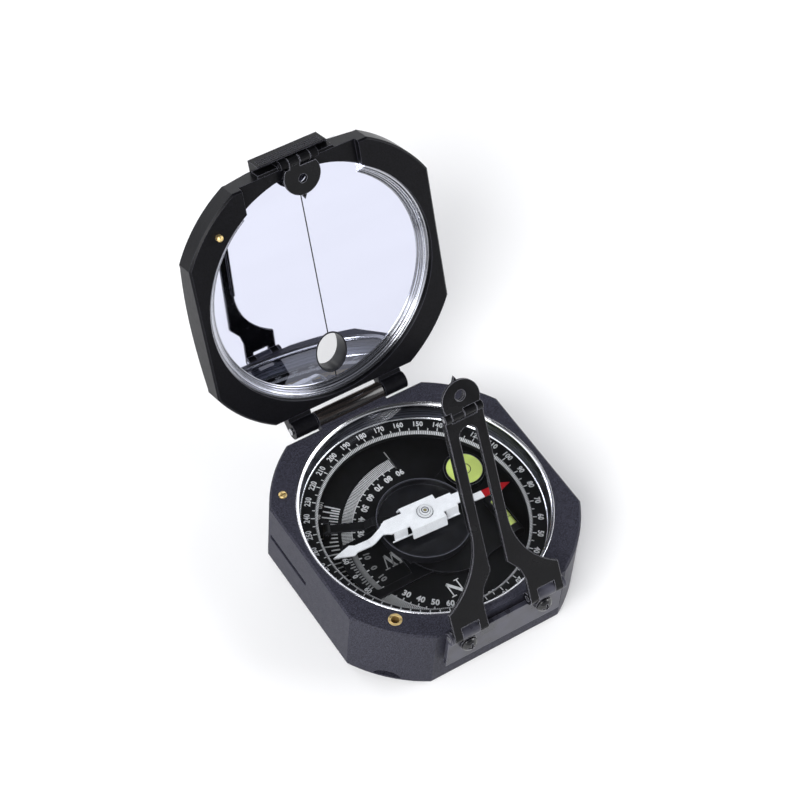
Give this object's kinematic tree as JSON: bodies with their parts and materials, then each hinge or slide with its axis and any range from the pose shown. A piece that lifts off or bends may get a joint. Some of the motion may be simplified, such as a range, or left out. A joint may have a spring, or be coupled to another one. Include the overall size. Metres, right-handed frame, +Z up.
{
  "type": "geological compass",
  "caption": "Geological pocket compass with a hinged mirror lid, folding sight arm, dip scale, spirit levels and a floating needle under glass.",
  "frame": {"origin": "on the face that the compass lies on, below the needle's pivot", "axes": "+Z up through the dial, +Y towards the lid's hinge, -Y towards the sight arm, +X to the right of someone who faces the open mirror"},
  "size_m": [0.073, 0.1157, 0.0951],
  "materials": {
    "case_paint": "fine textured black enamel",
    "black_trim": "satin black enamel",
    "dial_black": "satin black with printed scales",
    "chrome_trim": "polished",
    "brass_fitting": "machined",
    "steel_fitting": "turned",
    "clear_glass": "clear",
    "vernier_plastic": "smoked, glossy",
    "level_fluid": "yellow-green spirit behind glass",
    "mirror_silver": "silvered glass",
    "needle_white": "white enamel",
    "needle_red": "red enamel",
    "copper_cup": "dark satin"
  },
  "bodies": {
    "base": {"base_case": "case_paint", "bottom_cover": "case_paint", "cover_screws": "steel_fitting", "dial_plate": "dial_black", "dial_screws": "black_trim", "latch_bush": "brass_fitting", "ring_seat": "brass_fitting", "glass_liner": "chrome_trim", "window_glass": "clear_glass", "glass_bezel": "chrome_trim", "clinometer_bush": "brass_fitting", "pivot_post": "steel_fitting", "damping_cup": "copper_cup", "lift_shelf_bush": "brass_fitting", "lift_spring": "steel_fitting", "lifter_bracket": "black_trim", "lifter_pin": "steel_fitting", "arm_bracket": "case_paint", "bracket_washers": "black_trim", "bracket_screws": "black_trim", "arm_pins": "steel_fitting", "hinge_pin": "steel_fitting"},
    "lid": {"lid_case": "case_paint", "mirror": "mirror_silver", "mirror_ring": "chrome_trim", "latch_pin": "brass_fitting", "sight_bracket": "black_trim", "sight_screws": "steel_fitting", "sight_pin": "steel_fitting"},
    "lid_sight": {"lid_peep_leaf": "black_trim", "lid_point_leaf": "black_trim"},
    "arm": {"sight_arm": "black_trim", "tip_pin": "steel_fitting"},
    "arm_sight": {"arm_peep_leaf": "black_trim", "arm_point_leaf": "black_trim"},
    "needle": {"needle_frame": "needle_white", "needle_red_tip": "needle_red", "needle_cap": "steel_fitting", "needle_jewel": "brass_fitting", "needle_magnets": "steel_fitting"},
    "clinometer": {"clinometer_shaft": "brass_fitting", "hub_screw": "steel_fitting", "clinometer_arm": "dial_black", "vernier_plate": "vernier_plastic", "vernier_rivets": "steel_fitting", "round_level_housing": "black_trim", "round_level_vial": "level_fluid", "tube_level_holder": "black_trim", "tube_level_vial": "level_fluid", "friction_washer": "brass_fitting", "clinometer_lever": "black_trim", "lever_screw": "steel_fitting"},
    "azimuth": {"azimuth_ring": "dial_black", "ring_gear": "brass_fitting"},
    "adjuster": {"adjusting_pinion": "steel_fitting", "adjusting_knob": "brass_fitting"},
    "lift_button": {"lift_pin": "brass_fitting"},
    "lift_lever": {"lifter": "steel_fitting"}
  },
  "joints": [
    {"name": "lid_hinge", "type": "hinge", "parent": "base", "child": "lid", "pos_m": [0, 0.03887, 0.02219], "axis": [-1, 0, 0], "range_deg": [-111.5, 68.5]},
    {"name": "arm_hinge", "type": "hinge", "parent": "base", "child": "arm", "pos_m": [0, -0.0384, 0.0219], "axis": [1, 0, 0], "range_deg": [-61.2, 99.7]},
    {"name": "lid_sight_hinge", "type": "hinge", "parent": "lid", "child": "lid_sight", "pos_m": [0, 0.06854, 0.09312], "axis": [-1, 0, 0], "range_deg": [0, 100]},
    {"name": "arm_sight_hinge", "type": "hinge", "parent": "arm", "child": "arm_sight", "pos_m": [0, -0.01068, 0.07513], "axis": [1, 0, 0], "range_deg": [-90, 0]},
    {"name": "needle_pivot", "type": "hinge", "parent": "base", "child": "needle", "pos_m": [0, 0, 0.0183], "axis": [0, 0, 1], "continuous": true},
    {"name": "clinometer_shaft_turn", "type": "hinge", "parent": "base", "child": "clinometer", "pos_m": [0.0053, -0.00316, 0.01], "axis": [0, 0, 1], "range_deg": [-80, 80]},
    {"name": "azimuth_turn", "type": "hinge", "parent": "base", "child": "azimuth", "pos_m": [0, 0, 0.014], "axis": [0, 0, 1], "continuous": true},
    {"name": "adjuster_turn", "type": "hinge", "parent": "base", "child": "adjuster", "pos_m": [-0.02568, -0.02523, 0.013], "axis": [0, 0, 1], "continuous": true},
    {"name": "lift_button_slide", "type": "slide", "parent": "base", "child": "lift_button", "axis": [0, 0, -1], "range_m": [0, 0.00045], "stiffness_N_per_m": 300, "springref_m": -0.001, "deforming": ["lift_spring"]},
    {"name": "lift_lever_rock", "type": "hinge", "parent": "base", "child": "lift_lever", "pos_m": [-0.02285, 0.01241, 0.0119], "axis": [-0.4772, -0.8788, 0], "range_deg": [0, 3]}
  ],
  "couplings": [
    {"joint": "arm_hinge", "follows": "lid_hinge", "ratio": -0.89343},
    {"joint": "adjuster_turn", "follows": "azimuth_turn", "ratio": -14},
    {"joint": "lift_lever_rock", "follows": "lift_button_slide", "rad_per_m": 84.387}
  ]
}
